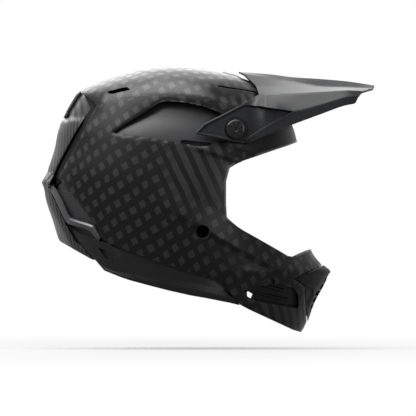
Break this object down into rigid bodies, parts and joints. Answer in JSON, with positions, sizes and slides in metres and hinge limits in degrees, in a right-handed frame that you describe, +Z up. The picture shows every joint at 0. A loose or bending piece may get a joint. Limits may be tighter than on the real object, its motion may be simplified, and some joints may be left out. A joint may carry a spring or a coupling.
{
  "type": "downhill bike full face helmet",
  "caption": "Full face cycling helmet with a ribbed chin bar, tilting peak, foam liner, yaw-slip inner liner, pads and D-ring chin strap.",
  "frame": {"origin": "centre of the wearer's head, level with the temples", "axes": "+X the way the wearer faces, +Y to the wearer's left, +Z up as worn"},
  "size_m": [0.3674, 0.2422, 0.297],
  "materials": {
    "outer_shell": "satin woven carbon",
    "tail_panel": "satin woven carbon",
    "exhaust_strip": "moulded",
    "slot_bed": "moulded",
    "vent_frame_left": "moulded",
    "vent_frame_right": "moulded",
    "intake_panel_left": "moulded",
    "intake_panel_right": "moulded",
    "skirt_left": "moulded",
    "skirt_right": "moulded",
    "mouth_guard": "moulded",
    "mouth_filter": "moulded",
    "gill_left": "moulded",
    "gill_right": "moulded",
    "eye_trim": "satin",
    "top_grille": "moulded",
    "port_grommet_left": "dark anodised",
    "port_grommet_right": "dark anodised",
    "visor": "satin moulded plastic",
    "visor_bushing_left": "dark anodised",
    "visor_bushing_right": "dark anodised",
    "visor_washers": "moulded",
    "thread_inserts": "turned",
    "visor_screw_left": "gloss",
    "visor_screw_right": "gloss",
    "outer_foam": "beaded foam",
    "chin_foam": "beaded foam",
    "slip_liner": "beaded foam",
    "slip_anchors": "satin elastomer",
    "crown_pad": "woven",
    "brow_pad": "woven",
    "neck_roll": "woven",
    "cheek_pad_left": "woven",
    "cheek_pad_right": "woven",
    "cheek_plate_left": "moulded",
    "cheek_plate_right": "moulded",
    "strap_long": "woven",
    "strap_short": "woven",
    "d_rings": "brushed",
    "strap_anchors": "brushed"
  },
  "bodies": {
    "helmet": {"outer_shell": "outer_shell", "tail_panel": "tail_panel", "exhaust_strip": "exhaust_strip", "slot_bed": "slot_bed", "vent_frame_left": "vent_frame_left", "vent_frame_right": "vent_frame_right", "intake_panel_left": "intake_panel_left", "intake_panel_right": "intake_panel_right", "skirt_left": "skirt_left", "skirt_right": "skirt_right", "mouth_guard": "mouth_guard", "mouth_filter": "mouth_filter", "gill_left": "gill_left", "gill_right": "gill_right", "eye_trim": "eye_trim", "top_grille": "top_grille", "port_grommet_left": "port_grommet_left", "port_grommet_right": "port_grommet_right", "visor_washers": "visor_washers", "thread_inserts": "thread_inserts", "outer_foam": "outer_foam", "chin_foam": "chin_foam", "brow_pad": "brow_pad", "neck_roll": "neck_roll", "cheek_pad_left": "cheek_pad_left", "cheek_pad_right": "cheek_pad_right", "cheek_plate_left": "cheek_plate_left", "cheek_plate_right": "cheek_plate_right", "strap_long": "strap_long", "strap_short": "strap_short", "d_rings": "d_rings", "strap_anchors": "strap_anchors"},
    "visor": {"visor": "visor", "visor_bushing_left": "visor_bushing_left", "visor_bushing_right": "visor_bushing_right"},
    "screw_left": {"visor_screw_left": "visor_screw_left"},
    "screw_right": {"visor_screw_right": "visor_screw_right"},
    "inner_liner": {"slip_liner": "slip_liner", "slip_anchors": "slip_anchors", "crown_pad": "crown_pad"}
  },
  "joints": [
    {"name": "visor_tilt", "type": "hinge", "parent": "helmet", "child": "visor", "pos_m": [0.07351, 0, 0.07315], "axis": [0, 1, 0], "range_deg": [-8, 12]},
    {"name": "screw_left_turn", "type": "hinge", "parent": "helmet", "child": "screw_left", "pos_m": [0.07351, 0.1058, 0.07315], "axis": [0, 1, 0], "continuous": true},
    {"name": "screw_right_turn", "type": "hinge", "parent": "helmet", "child": "screw_right", "pos_m": [0.07351, -0.1058, 0.07315], "axis": [0, 1, 0], "continuous": true},
    {"name": "liner_slip", "type": "hinge", "parent": "helmet", "child": "inner_liner", "pos_m": [0, 0, 0], "axis": [0, 0, 1], "range_deg": [-7, 7], "stiffness_Nm_per_rad": 0.8}
  ]
}
